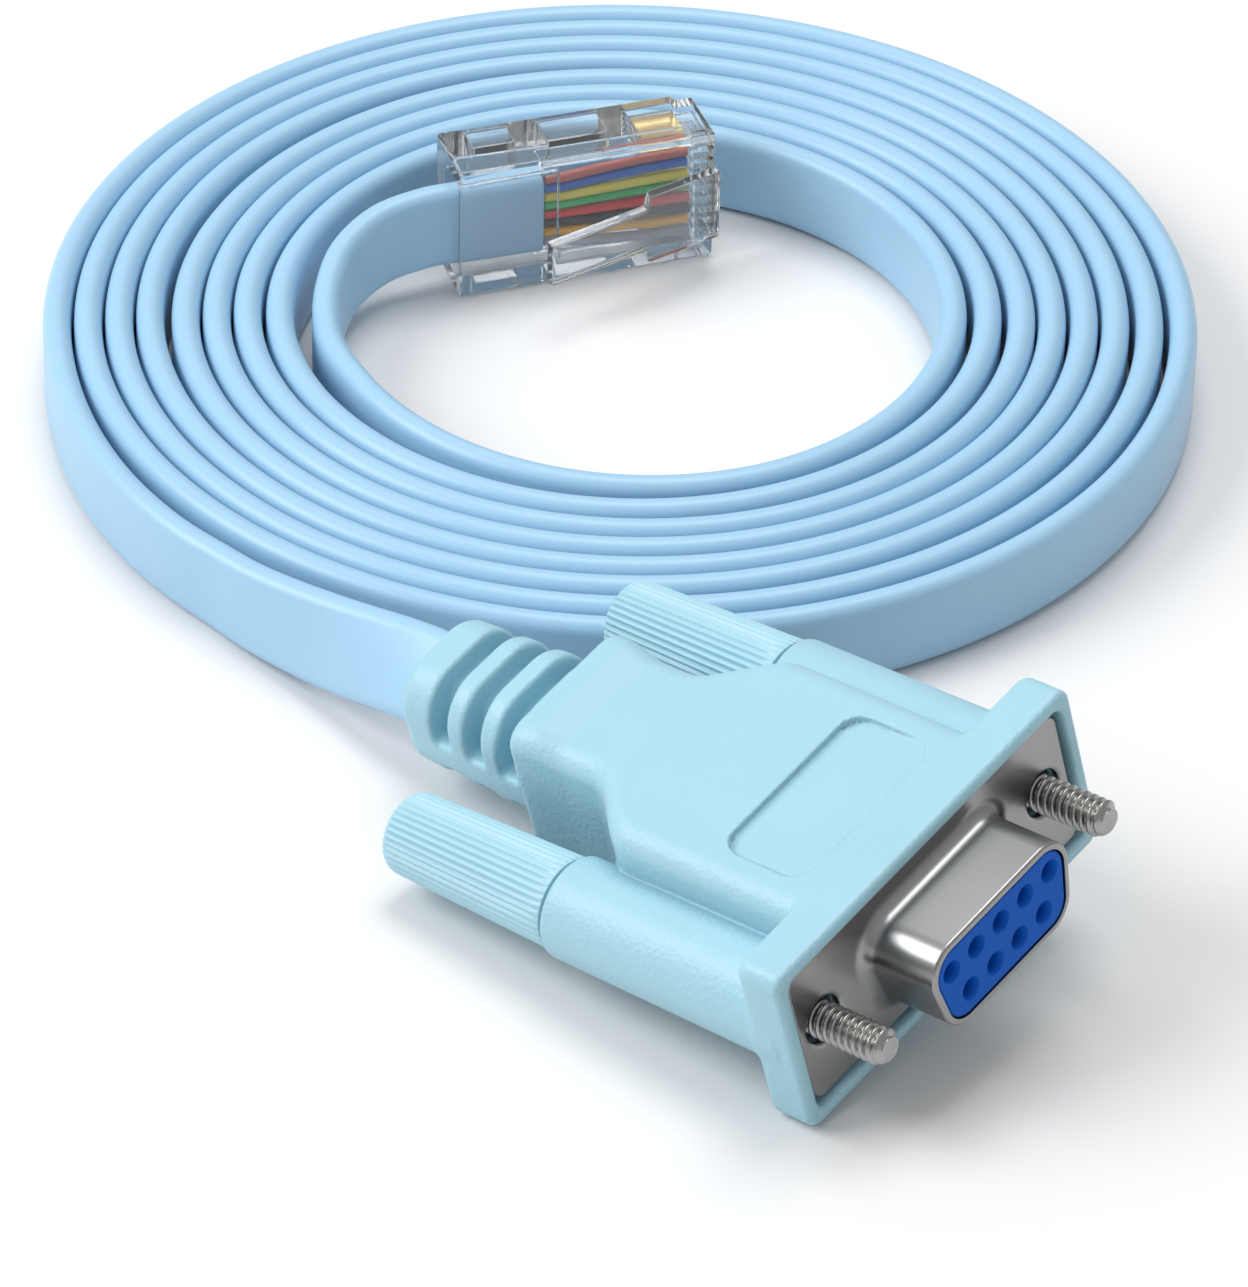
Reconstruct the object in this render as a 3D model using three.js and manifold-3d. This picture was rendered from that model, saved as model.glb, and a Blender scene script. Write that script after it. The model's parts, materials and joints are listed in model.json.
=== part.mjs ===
// A serial console cable, lying on a level floor as it comes out of its bag.
// One end is a moulded nine-way D connector with two thumbscrews, the other is a clear
// eight-way modular plug. Between them about 1.8 m of flat cable stands on its edge,
// wound into one flat spiral. Lengths are millimetres, angles are degrees, +Z is up.
// The origin is on the floor, under the middle of the D connector.
import * as THREE from 'three';
import { mergeVertices } from 'three/addons/utils/BufferGeometryUtils.js';
import Module from 'manifold-3d';

const wasm = await Module();
wasm.setup();

// Clearances
const GAP = 0.3; // between pieces that rest on, sit in or pass through each other
const WIRE_GAP = 0.1; // between neighbouring wires in the plug

// Flat cable: eight wires side by side in one jacket
const CABLE_WIDTH = 7.3;
const CABLE_THICKNESS = 2.2;

// Coil: one flat spiral, its turns standing on their edges
const COIL_OUTER_RADIUS = 44.9;
const COIL_INNER_RADIUS = 25.0;
const COIL_TURN_PITCH = 2.52;
const COIL_GROOVE_DEPTH = 0.8;
const COIL_CENTRE = [46.67, 76.7]; // from the middle of the mating face, along the floor
const COIL_SIDES = 48;

// The cable's two free stretches. Each point is [x, y, height of the middle, lean]:
// x and y are measured from the middle of the mating face, and the lean is how far the
// cable's edge tips over from upright, in degrees.
const LEAD_ROUTE = [
  [-0.5, 52.3, 7.1, 40],
  [-0.4, 54.5, 6.75, 37],
  [-0.25, 57.2, 6.15, 32],
  [-0.1, 60.4, 5.4, 26],
  [0.02, 64.0, 4.7, 19],
  [0.1, 68.0, 4.15, 12],
  [0.25, 72.0, 3.8, 6],
  [0.62, 75.8, 3.65, 2],
];
const TAIL_ROUTE = [
  [26.6, 88.2, 3.65, 0],
  [29.2, 91.6, 3.75, 0],
  [32.6, 94.5, 4.2, 0],
  [36.6, 96.5, 4.9, 0],
  [41.0, 96.9, 5.5, 0],
  [44.8, 95.7, 5.8, 0],
  [47.2, 94.4, 5.84, 0],
  [50.4, 92.55, 5.84, 0],
  [53.2, 90.93, 5.84, 0],
];
const LEAD_STEPS = 10;
const TAIL_STEPS = 14;

// How the D connector lies: its lower near corner is on the floor, and the twist of the
// cable holds the far side up
const CONNECTOR_ROLL = 12.9;
const CONNECTOR_NOSE_UP = 5.4;
const CONNECTOR_YAW = 0.4;

// D connector. Its own frame has x along the rows of holes, y from the mating face back
// to the cable, and z up, with its origin in the middle of the mating face.
const HOLE_PITCH = 2.77;
const ROW_SPACING = 2.84;
const TOP_ROW_HOLES = 5;
const HOLE_RADIUS = 0.6;
const COUNTERSINK_RADIUS = 0.85;
const COUNTERSINK_DEPTH = 0.35;
const CONTACT_RADIUS = 0.8;
const CONTACT_BORE_RADIUS = 0.5;
const CONTACT_LENGTH = 6.5;
const CONTACT_SETBACK = 2.0;

const INSULATOR_TOP_WIDTH = 14.7;
const INSULATOR_HEIGHT = 6.4;
const INSULATOR_LENGTH = 9.4;
const D_SIDE_SLOPE = 10;
const D_CORNER_RADIUS = 1.6;

const SHELL_WALL = 0.5;
const SHELL_LENGTH = 6.1;
const SHELL_FOOT_RADIUS = 0.5;
const SCREW_SPACING = 25.0;
const PLATE_END_MARGIN = 2.6; // from a screw's middle to the end of the plate
const PLATE_HEIGHT = 11.8;
const PLATE_THICKNESS = 0.5;
const PLATE_CORNER_RADIUS = 1.0;

const FLANGE_THICKNESS = 3.5;
const FLANGE_RIM_WIDTH = 1.15;
const FLANGE_RIM_PROUD = 0.5;
const FLANGE_CORNER_RADIUS = 1.2;
const FLANGE_EDGE_CHAMFER = 0.5;

const BODY_WIDTH = 20.8;
const BODY_HEIGHT = 13.9;
const BODY_REAR_RISE = 0.85; // how far the underside rises towards the rear
const BODY_SHOULDER_Y = 25.6;
const BODY_CORNER_RADIUS = 1.6;
const BODY_NECK_WIDTH = 12.2;
const BODY_NECK_Y = 31.0;
const BODY_NECK_RADIUS = 2.4;
const BODY_REAR_WIDTH = 13.0;
const BODY_REAR_Y = 39.2;
const BODY_EDGE_CHAMFER = 0.7;
const LABEL_WIDTH = 15.2;
const LABEL_LENGTH = 7.4;
const LABEL_FRONT_Y = 10.6;
const LABEL_DEPTH = 0.3;
const LABEL_CORNER_RADIUS = 1.6;

const SLEEVE_RADIUS = 4.0;
const SLEEVE_REAR_RADIUS = 3.85;
const SLEEVE_REAR_Y = 29.0;
const BORE_RADIUS = 1.8;

const RELIEF_WIDTH = 10.4;
const RELIEF_HEIGHT = 9.4;
const RELIEF_CORNER_RADIUS = 3.6;
const RELIEF_RISE = 0.6; // its middle stands this far above the middle of the D
const RELIEF_END_SCALE = 0.84; // its end against its root
const RELIEF_REAR_Y = 51.8;
const RELIEF_SLOTS = 3;
const RELIEF_SLOT_LENGTH = 1.6;
const RELIEF_SLOT_PITCH = 3.35;
const RELIEF_SLOT_DEPTH = 1.5;
const RELIEF_SPINE = 1.8; // half the height that the slots leave whole at each side
const RELIEF_FIRST_SLOT_Y = 40.3;

const SCREW_RADIUS = 1.42;
const SCREW_TIP_Y = 0.4;
const SCREW_TIP_CHAMFER = 0.35;
const SCREW_LENGTH = 34.0;
const KNOB_RADIUS = 3.5;
const KNOB_END_SCALE = 0.89; // its rear end against its front end
const KNOB_FLUTE_DEPTH = 0.22;
const KNOB_FLUTES = 30;
const KNOB_LENGTH = 15.6;
const KNOB_END_CHAMFER = 0.5;

// Modular plug. Its own frame has x from the rear to the nose, y from the latch side to
// the contact side, and z up across its width: it stands on its narrow side.
const PLUG_LENGTH = 21.4;
const PLUG_THICKNESS = 6.6;
const PLUG_WIDTH = 11.68;
const PLUG_REAR = [45.9, 92.7]; // its rear corner on the latch side, as COIL_CENTRE
const PLUG_HEADING = -30;
const PLUG_WALL = 1.0;
const PLUG_SEAT_DEPTH = 8.0; // how far the jacket goes in
const NOSE_STEP_LENGTH = 1.6;
const NOSE_STEP_DEPTH = 0.8;
const CRIMP_WINDOW_LENGTH = 5.0;
const CRIMP_WINDOW_START = 8.8;
const CRIMP_WINDOW_DEPTH = 2.2;
const SEAT_WINDOW_LENGTH = 3.2;
const SEAT_WINDOW_START = 2.6;

const WIRE_PITCH = 1.02;
const WIRE_COUNT = 8;
const WIRE_MIDDLE_Y = 2.1;
const WIRE_END_X = 19.6;
const BLADE_THICKNESS = 0.32;
const BLADE_START_X = 16.2;
const BLADE_LENGTH = 3.6;
const BLADE_SETBACK = 0.5;
const BLADE_SLOT_GAP = 0.14; // each side of a blade

const LATCH_THICKNESS = 1.0;
const LATCH_ROOT_WIDTH = 6.4;
const LATCH_TAIL_WIDTH = 3.9;
const LATCH_SHOULDER_X = 14.6;
const LATCH_FREE_X = 5.6;
const LATCH_FREE_Y = -5.2; // how far the free end stands off the plug's side
const LATCH_ROOT_Y = -1.5;

const ROUND_SIDES = 24;
const SMALL_SIDES = 12;
const CORNER_STEPS = 4;

const DEGREES = Math.PI / 180;
const OVERSHOOT = 1; // how far a cutting tool runs past the face it cuts
const plateFrontY = SHELL_LENGTH;
const flangeFrontY = plateFrontY - FLANGE_RIM_PROUD;
const flangeRearY = flangeFrontY + FLANGE_THICKNESS;
const screwX = SCREW_SPACING / 2;
const plateWidth = SCREW_SPACING + 2 * PLATE_END_MARGIN;

function paint(color, roughness, metalness, opacity = 1) {
  return new THREE.MeshStandardMaterial({
    color, roughness, metalness, opacity, transparent: opacity < 1,
  });
}

const hoodPlastic = () => paint(0xaedcec, 0.5, 0);
const cablePlastic = () => paint(0x9cc3e6, 0.4, 0);
const clearPlastic = () => paint(0xeef4f6, 0.08, 0, 0.35);
const bluePlastic = () => paint(0x0f57bd, 0.45, 0);
const nickelledSteel = () => paint(0x8f8b88, 0.3, 1);
const brightSteel = () => paint(0xb9b7b4, 0.3, 1);
const goldPlate = () => paint(0xd8b45a, 0.25, 1);
const wireColours = {
  brown: 0x9c4a46, blue: 0x1757a8, yellow: 0xd9c84a, green: 0x2f9c50,
  red: 0xd8342c, black: 0x1c1c20, orange: 0xe59a26, grey: 0x9a9aa2,
};

// Solids

function solid(geometry) {
  const bare = geometry.clone();
  bare.deleteAttribute('normal');
  bare.deleteAttribute('uv');
  const merged = mergeVertices(bare, 1e-4);
  return new wasm.Manifold(new wasm.Mesh({
    numProp: 3,
    vertProperties: new Float32Array(merged.attributes.position.array),
    triVerts: new Uint32Array(merged.index.array),
  }));
}

function geometryOf(body) {
  const mesh = body.getMesh();
  const geometry = new THREE.BufferGeometry();
  geometry.setAttribute('position', new THREE.BufferAttribute(new Float32Array(mesh.vertProperties), 3));
  geometry.setIndex(new THREE.BufferAttribute(new Uint32Array(mesh.triVerts), 1));
  geometry.computeVertexNormals();
  return geometry;
}

function piece(name, shape, material) {
  const geometry = shape.isBufferGeometry ? shape : geometryOf(shape);
  const mesh = new THREE.Mesh(geometry, material);
  mesh.name = name;
  return mesh;
}

function union(bodies) {
  return bodies.reduce((whole, body) => whole.add(body));
}

// An outline with every corner rounded off. A corner may give a radius of its own.
function roundedOutline(corners, radius) {
  const shape = new THREE.Shape();
  corners.forEach(([x, y, ownRadius = radius], index) => {
    const here = new THREE.Vector2(x, y);
    const before = new THREE.Vector2(...corners.at(index - 1));
    const after = new THREE.Vector2(...corners[(index + 1) % corners.length]);
    const start = before.sub(here).setLength(ownRadius).add(here);
    const end = after.sub(here).setLength(ownRadius).add(here);
    if (index === 0) shape.moveTo(start.x, start.y);
    else shape.lineTo(start.x, start.y);
    shape.quadraticCurveTo(here.x, here.y, end.x, end.y);
  });
  shape.closePath();
  return shape;
}

function rectangle(width, height) {
  const [x, y] = [width / 2, height / 2];
  return [[-x, -y], [x, -y], [x, y], [-x, y]];
}

// An outline in x and z, carried from one y to another
function prism(shape, fromY, toY) {
  const geometry = new THREE.ExtrudeGeometry(shape, {
    depth: toY - fromY, bevelEnabled: false, curveSegments: CORNER_STEPS,
  });
  return geometry.rotateX(Math.PI / 2).translate(0, toY, 0);
}

// The same with both end edges cut back by a chamfer
function chamferedPrism(shape, fromY, toY, chamfer) {
  const geometry = new THREE.ExtrudeGeometry(shape, {
    depth: toY - fromY - 2 * chamfer, curveSegments: CORNER_STEPS,
    bevelThickness: chamfer, bevelSize: chamfer, bevelOffset: -chamfer, bevelSegments: 1,
  });
  return geometry.rotateX(Math.PI / 2).translate(0, toY - chamfer, 0);
}

// The same shape, narrowed evenly about the y axis from one y to another
function tapered(geometry, fromY, toY, endScale) {
  const position = geometry.attributes.position;
  for (let index = 0; index < position.count; index += 1) {
    const way = (position.getY(index) - fromY) / (toY - fromY);
    const scale = 1 + (endScale - 1) * way;
    position.setX(index, position.getX(index) * scale);
    position.setZ(index, position.getZ(index) * scale);
  }
  return geometry;
}

function box(from, to) {
  const size = to.map((value, axis) => value - from[axis]);
  const middle = to.map((value, axis) => (value + from[axis]) / 2);
  return new THREE.BoxGeometry(...size).translate(...middle);
}

// A turned shape about a line along y, from [radius, y] steps that start and end on it
function turned(steps, x, z, sides) {
  const points = steps.map(([radius, y]) => new THREE.Vector2(radius, y));
  return new THREE.LatheGeometry(points, sides).translate(x, 0, z);
}

function rod(radius, fromY, toY, x, z, sides) {
  return turned([[0, fromY], [radius, fromY], [radius, toY], [0, toY]], x, z, sides);
}

// D connector

// The D outline of the insulator, grown by a margin on every side
function dOutline(margin) {
  const half = INSULATOR_HEIGHT / 2 + margin;
  const slope = Math.tan(D_SIDE_SLOPE * DEGREES);
  const sideMargin = margin / Math.cos(D_SIDE_SLOPE * DEGREES);
  const middle = INSULATOR_TOP_WIDTH / 2 - (INSULATOR_HEIGHT / 2) * slope + sideMargin;
  const [top, bottom] = [middle + half * slope, middle - half * slope];
  const corners = [[-bottom, -half], [bottom, -half], [top, half], [-top, half]];
  return roundedOutline(corners, D_CORNER_RADIUS + margin);
}

function holePlaces() {
  const places = [];
  [TOP_ROW_HOLES, TOP_ROW_HOLES - 1].forEach((count, row) => {
    for (let index = 0; index < count; index += 1) {
      const x = (index - (count - 1) / 2) * HOLE_PITCH;
      places.push([x, ROW_SPACING * (0.5 - row)]);
    }
  });
  return places;
}

function insulator() {
  const socketRadius = CONTACT_RADIUS + GAP;
  const cuts = holePlaces().map(([x, z]) => solid(turned([
    [0, -OVERSHOOT], [COUNTERSINK_RADIUS, -OVERSHOOT], [COUNTERSINK_RADIUS, 0],
    [HOLE_RADIUS, COUNTERSINK_DEPTH], [HOLE_RADIUS, CONTACT_SETBACK],
    [socketRadius, CONTACT_SETBACK], [socketRadius, INSULATOR_LENGTH + OVERSHOOT],
    [0, INSULATOR_LENGTH + OVERSHOOT],
  ], x, z, SMALL_SIDES)));
  return solid(prism(dOutline(0), 0, INSULATOR_LENGTH)).subtract(union(cuts));
}

function socketContact([x, z]) {
  const front = CONTACT_SETBACK + GAP;
  const rear = front + CONTACT_LENGTH;
  const points = [
    [CONTACT_BORE_RADIUS, front], [CONTACT_RADIUS, front],
    [CONTACT_RADIUS, rear], [CONTACT_BORE_RADIUS, rear], [CONTACT_BORE_RADIUS, front],
  ];
  return turned(points, x, z, SMALL_SIDES);
}

function facePlate() {
  const rearY = plateFrontY + PLATE_THICKNESS;
  const plateShape = roundedOutline(rectangle(plateWidth, PLATE_HEIGHT), PLATE_CORNER_RADIUS);
  const footY = plateFrontY - SHELL_FOOT_RADIUS;
  const outer = union([
    solid(prism(plateShape, plateFrontY, rearY)),
    solid(prism(dOutline(GAP + SHELL_WALL), 0, rearY)),
    solid(prism(dOutline(GAP + SHELL_WALL + SHELL_FOOT_RADIUS / 2), footY, rearY)),
  ]);
  const holes = [-screwX, screwX].map((x) => (
    solid(rod(BORE_RADIUS, plateFrontY - OVERSHOOT, rearY + OVERSHOOT, x, 0, ROUND_SIDES))));
  const opening = solid(prism(dOutline(GAP), -OVERSHOOT, rearY + OVERSHOOT));
  return outer.subtract(union([opening, ...holes]));
}

// The hood's main block: broad to its shoulders, then a neck, with an underside that rises
function hoodBody() {
  const [wide, neck, narrow] = [BODY_WIDTH / 2, BODY_NECK_WIDTH / 2, BODY_REAR_WIDTH / 2];
  const frontY = flangeRearY - OVERSHOOT;
  const farSide = [
    [wide, frontY], [wide, BODY_SHOULDER_Y], [neck, BODY_NECK_Y, BODY_NECK_RADIUS],
    [narrow, BODY_REAR_Y],
  ];
  const nearSide = farSide.map(([x, ...rest]) => [-x, ...rest]).reverse();
  const plan = roundedOutline([...farSide, ...nearSide], BODY_CORNER_RADIUS);
  const body = new THREE.ExtrudeGeometry(plan, {
    depth: BODY_HEIGHT - 2 * BODY_EDGE_CHAMFER, curveSegments: CORNER_STEPS, bevelSegments: 1,
    bevelThickness: BODY_EDGE_CHAMFER, bevelSize: BODY_EDGE_CHAMFER, bevelOffset: -BODY_EDGE_CHAMFER,
  }).translate(0, 0, BODY_EDGE_CHAMFER - BODY_HEIGHT / 2);
  const position = body.attributes.position;
  for (let index = 0; index < position.count; index += 1) {
    const [y, z] = [position.getY(index), position.getZ(index)];
    const way = (y - frontY) / (BODY_REAR_Y - frontY);
    if (z < 0) position.setZ(index, z + BODY_REAR_RISE * way);
  }
  return solid(body);
}

// A tool that sinks the label panel into the top of the hood
function labelRecess() {
  const shape = roundedOutline(rectangle(LABEL_WIDTH, LABEL_LENGTH), LABEL_CORNER_RADIUS);
  const tool = new THREE.ExtrudeGeometry(shape, {
    depth: LABEL_DEPTH + OVERSHOOT, bevelEnabled: false, curveSegments: CORNER_STEPS,
  });
  return solid(tool.translate(0, LABEL_FRONT_Y + LABEL_LENGTH / 2, BODY_HEIGHT / 2 - LABEL_DEPTH));
}

// The strain relief, or the core inside its slots, which is smaller all round by a margin
function reliefShape(margin) {
  const outline = rectangle(RELIEF_WIDTH - 2 * margin, RELIEF_HEIGHT - 2 * margin);
  return roundedOutline(outline, RELIEF_CORNER_RADIUS - margin / 2);
}

function strainRelief() {
  const fromY = BODY_REAR_Y - OVERSHOOT;
  const outside = chamferedPrism(reliefShape(0), fromY, RELIEF_REAR_Y, FLANGE_EDGE_CHAMFER);
  const core = prism(reliefShape(RELIEF_SLOT_DEPTH), fromY, RELIEF_REAR_Y);
  const tools = [];
  for (let index = 0; index < RELIEF_SLOTS; index += 1) {
    const frontY = RELIEF_FIRST_SLOT_Y + index * RELIEF_SLOT_PITCH;
    const rearY = frontY + RELIEF_SLOT_LENGTH;
    const upper = box([-RELIEF_WIDTH, frontY, RELIEF_SPINE], [RELIEF_WIDTH, rearY, RELIEF_HEIGHT]);
    const lower = box([-RELIEF_WIDTH, frontY, -RELIEF_HEIGHT], [RELIEF_WIDTH, rearY, -RELIEF_SPINE]);
    tools.push(solid(upper), solid(lower));
  }
  const slots = union(tools).subtract(solid(tapered(core, fromY, RELIEF_REAR_Y, RELIEF_END_SCALE)));
  return solid(tapered(outside, fromY, RELIEF_REAR_Y, RELIEF_END_SCALE)).subtract(slots)
    .translate([0, 0, RELIEF_RISE]);
}

function hood() {
  const pocketWidth = plateWidth + 2 * GAP;
  const pocketHeight = PLATE_HEIGHT + 2 * GAP;
  const flangeWidth = pocketWidth + 2 * FLANGE_RIM_WIDTH;
  const flangeHeight = pocketHeight + 2 * FLANGE_RIM_WIDTH;
  const flangeShape = roundedOutline(rectangle(flangeWidth, flangeHeight), FLANGE_CORNER_RADIUS);
  const pocketShape = roundedOutline(rectangle(pocketWidth, pocketHeight), PLATE_CORNER_RADIUS);
  const pocketRearY = plateFrontY + PLATE_THICKNESS + GAP;
  const flange = chamferedPrism(flangeShape, flangeFrontY, flangeRearY, FLANGE_EDGE_CHAMFER);
  const sleeves = [-screwX, screwX].map((x) => solid(turned([
    [0, flangeRearY - OVERSHOOT], [SLEEVE_RADIUS, flangeRearY - OVERSHOOT],
    [SLEEVE_REAR_RADIUS, SLEEVE_REAR_Y], [0, SLEEVE_REAR_Y],
  ], x, 0, ROUND_SIDES)));
  const bores = [-screwX, screwX].map((x) => (
    solid(rod(BORE_RADIUS, 0, SLEEVE_REAR_Y + OVERSHOOT, x, 0, ROUND_SIDES))));
  const pocket = solid(prism(pocketShape, flangeFrontY - OVERSHOOT, pocketRearY));
  const cavity = solid(prism(dOutline(GAP), flangeFrontY, INSULATOR_LENGTH + GAP));
  return union([solid(flange), hoodBody(), strainRelief(), ...sleeves])
    .subtract(union([pocket, cavity, labelRecess(), ...bores]));
}

function jackscrew(x) {
  const rearY = SCREW_TIP_Y + SCREW_LENGTH;
  return turned([
    [0, SCREW_TIP_Y], [SCREW_RADIUS - SCREW_TIP_CHAMFER, SCREW_TIP_Y],
    [SCREW_RADIUS, SCREW_TIP_Y + SCREW_TIP_CHAMFER], [SCREW_RADIUS, rearY], [0, rearY],
  ], x, 0, SMALL_SIDES);
}

function knob(x) {
  const frontY = SLEEVE_REAR_Y + GAP;
  const points = [];
  for (let index = 0; index < 2 * KNOB_FLUTES; index += 1) {
    const angle = (index / KNOB_FLUTES) * Math.PI;
    const radius = KNOB_RADIUS - (index % 2) * KNOB_FLUTE_DEPTH;
    points.push(new THREE.Vector2(radius * Math.cos(angle), radius * Math.sin(angle)));
  }
  const fluted = prism(new THREE.Shape(points), frontY, frontY + KNOB_LENGTH);
  const rearY = frontY + KNOB_LENGTH;
  const ends = turned([
    [0, frontY - OVERSHOOT], [KNOB_RADIUS + OVERSHOOT, frontY - OVERSHOOT],
    [KNOB_RADIUS + OVERSHOOT, rearY - KNOB_END_CHAMFER - OVERSHOOT],
    [KNOB_RADIUS - KNOB_END_CHAMFER, rearY], [0, rearY],
  ], 0, 0, ROUND_SIDES);
  const screwHole = rod(
    SCREW_RADIUS + GAP, frontY - OVERSHOOT, SCREW_TIP_Y + SCREW_LENGTH + GAP, 0, 0, SMALL_SIDES,
  );
  const grip = geometryOf(solid(fluted).intersect(solid(ends)));
  return geometryOf(solid(tapered(grip, frontY, rearY, KNOB_END_SCALE)).subtract(solid(screwHole)))
    .translate(x, 0, 0);
}

function connector() {
  const group = new THREE.Group();
  group.add(piece('hood', hood(), hoodPlastic()));
  group.add(piece('face_plate', facePlate(), nickelledSteel()));
  group.add(piece('insulator', insulator(), bluePlastic()));
  holePlaces().forEach((place, index) => {
    group.add(piece(`socket_contact_${index + 1}`, socketContact(place), goldPlate()));
  });
  [['near', -screwX], ['far', screwX]].forEach(([side, x]) => {
    group.add(piece(`jackscrew_${side}`, jackscrew(x), brightSteel()));
    group.add(piece(`knob_${side}`, knob(x), hoodPlastic()));
  });
  const turns = [-CONNECTOR_NOSE_UP, -CONNECTOR_ROLL, CONNECTOR_YAW];
  group.rotation.set(...turns.map((turn) => turn * DEGREES), 'XYZ');
  const below = new THREE.Box3().setFromObject(group, true).min.z;
  group.position.z = -below;
  return group;
}

// Cable

function cableSection() {
  const shape = new THREE.Shape();
  const radius = CABLE_THICKNESS / 2;
  const straight = CABLE_WIDTH / 2 - radius;
  const halfSides = SMALL_SIDES / 2;
  const points = [];
  for (let index = 0; index < SMALL_SIDES; index += 1) {
    const end = index < halfSides ? 1 : -1;
    const angle = ((index % halfSides) / (halfSides - 1)) * Math.PI;
    const [x, y] = [radius * Math.cos(angle), straight + radius * Math.sin(angle)];
    points.push(new THREE.Vector2(x * end, y * end));
  }
  return shape.setFromPoints(points);
}

// The flat section carried along a route, leaning as its points say
function flatCable(route, steps) {
  const geometry = new THREE.ExtrudeGeometry(cableSection(), {
    depth: 1, steps, bevelEnabled: false,
  });
  const curve = new THREE.CatmullRomCurve3(route.map(([x, y, z]) => new THREE.Vector3(x, y, z)));
  const leans = new THREE.SplineCurve(route.map(([, , , lean], index) => (
    new THREE.Vector2(index / (route.length - 1), lean * DEGREES))));
  const position = geometry.attributes.position;
  for (let index = 0; index < position.count; index += 1) {
    const along = position.getZ(index);
    const way = curve.getUtoTmapping(along);
    const tangent = curve.getTangent(way);
    const lean = leans.getPoint(way).y;
    const upright = new THREE.Vector3(0, 0, 1).applyAxisAngle(tangent, lean);
    const side = upright.clone().cross(tangent).normalize();
    const edge = tangent.clone().cross(side);
    const place = curve.getPoint(way)
      .addScaledVector(side, position.getX(index))
      .addScaledVector(edge, position.getY(index));
    position.setXYZ(index, place.x, place.y, place.z);
  }
  return geometry;
}

// The coil's outer shape, with a groove between neighbouring turns on both ends
function coil() {
  const turns = Math.floor((COIL_OUTER_RADIUS - COIL_INNER_RADIUS) / COIL_TURN_PITCH);
  const pitch = (COIL_OUTER_RADIUS - COIL_INNER_RADIUS) / turns;
  const halfGroove = (pitch - CABLE_THICKNESS + COIL_GROOVE_DEPTH) / 2;
  const end = [];
  for (let turn = 0; turn < turns; turn += 1) {
    const [inner, outer] = [COIL_INNER_RADIUS + turn * pitch, COIL_INNER_RADIUS + (turn + 1) * pitch];
    end.push([inner, COIL_GROOVE_DEPTH], [inner + halfGroove, 0], [outer - halfGroove, 0]);
  }
  end.push([COIL_OUTER_RADIUS, COIL_GROOVE_DEPTH]);
  const upper = end.map(([radius, depth]) => [radius, CABLE_WIDTH - depth]).reverse();
  const profile = [...end, ...upper, end[0]].map(([radius, z]) => new THREE.Vector2(radius, z));
  return new THREE.LatheGeometry(profile, COIL_SIDES).rotateX(Math.PI / 2)
    .translate(COIL_CENTRE[0], COIL_CENTRE[1], 0);
}

// Modular plug

function plugBody() {
  const middleZ = PLUG_WIDTH / 2;
  const seatHalf = CABLE_WIDTH / 2 + GAP;
  const seatNearY = WIRE_MIDDLE_Y - CABLE_THICKNESS / 2 - GAP;
  const seatFarY = WIRE_MIDDLE_Y + CABLE_THICKNESS / 2 + GAP;
  const wireRadius = (WIRE_PITCH - WIRE_GAP) / 2;
  const channelHalf = (WIRE_PITCH * WIRE_COUNT) / 2 + GAP;
  const noseX = PLUG_LENGTH - NOSE_STEP_LENGTH;
  const tools = [
    box([-OVERSHOOT, seatNearY, middleZ - seatHalf], [PLUG_SEAT_DEPTH, seatFarY, middleZ + seatHalf]),
    box([PLUG_SEAT_DEPTH - OVERSHOOT, WIRE_MIDDLE_Y - wireRadius - GAP, middleZ - channelHalf],
      [WIRE_END_X + GAP, WIRE_MIDDLE_Y + wireRadius + GAP, middleZ + channelHalf]),
    box([noseX, PLUG_THICKNESS - NOSE_STEP_DEPTH, -OVERSHOOT],
      [PLUG_LENGTH + OVERSHOOT, PLUG_THICKNESS + OVERSHOOT, PLUG_WIDTH + OVERSHOOT]),
    box([CRIMP_WINDOW_START, PLUG_THICKNESS - CRIMP_WINDOW_DEPTH, PLUG_WALL],
      [CRIMP_WINDOW_START + CRIMP_WINDOW_LENGTH, PLUG_THICKNESS + OVERSHOOT, PLUG_WIDTH - PLUG_WALL]),
    box([SEAT_WINDOW_START, PLUG_THICKNESS - CRIMP_WINDOW_DEPTH, PLUG_WALL],
      [SEAT_WINDOW_START + SEAT_WINDOW_LENGTH, PLUG_THICKNESS + OVERSHOOT, PLUG_WIDTH - PLUG_WALL]),
  ];
  const slotHalf = BLADE_THICKNESS / 2 + BLADE_SLOT_GAP;
  for (let index = 0; index < WIRE_COUNT; index += 1) {
    const z = wireZ(index);
    tools.push(box([BLADE_START_X - GAP, WIRE_MIDDLE_Y, z - slotHalf],
      [PLUG_LENGTH + OVERSHOOT, PLUG_THICKNESS + OVERSHOOT, z + slotHalf]));
  }
  const block = box([0, 0, 0], [PLUG_LENGTH, PLUG_THICKNESS, PLUG_WIDTH]);
  return solid(block).subtract(union(tools.map(solid)));
}

function wireZ(index) {
  return PLUG_WIDTH / 2 + (index - (WIRE_COUNT - 1) / 2) * WIRE_PITCH;
}

function plugWire(index) {
  const length = WIRE_END_X - PLUG_SEAT_DEPTH - GAP;
  const radius = (WIRE_PITCH - WIRE_GAP) / 2;
  return new THREE.CylinderGeometry(radius, radius, length, SMALL_SIDES).rotateZ(-Math.PI / 2)
    .translate(PLUG_SEAT_DEPTH + GAP + length / 2, WIRE_MIDDLE_Y, wireZ(index));
}

function contactBlade(index) {
  const z = wireZ(index);
  const nearY = WIRE_MIDDLE_Y + (WIRE_PITCH - WIRE_GAP) / 2 + GAP;
  return box([BLADE_START_X, nearY, z - BLADE_THICKNESS / 2],
    [BLADE_START_X + BLADE_LENGTH, PLUG_THICKNESS - BLADE_SETBACK, z + BLADE_THICKNESS / 2]);
}

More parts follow.
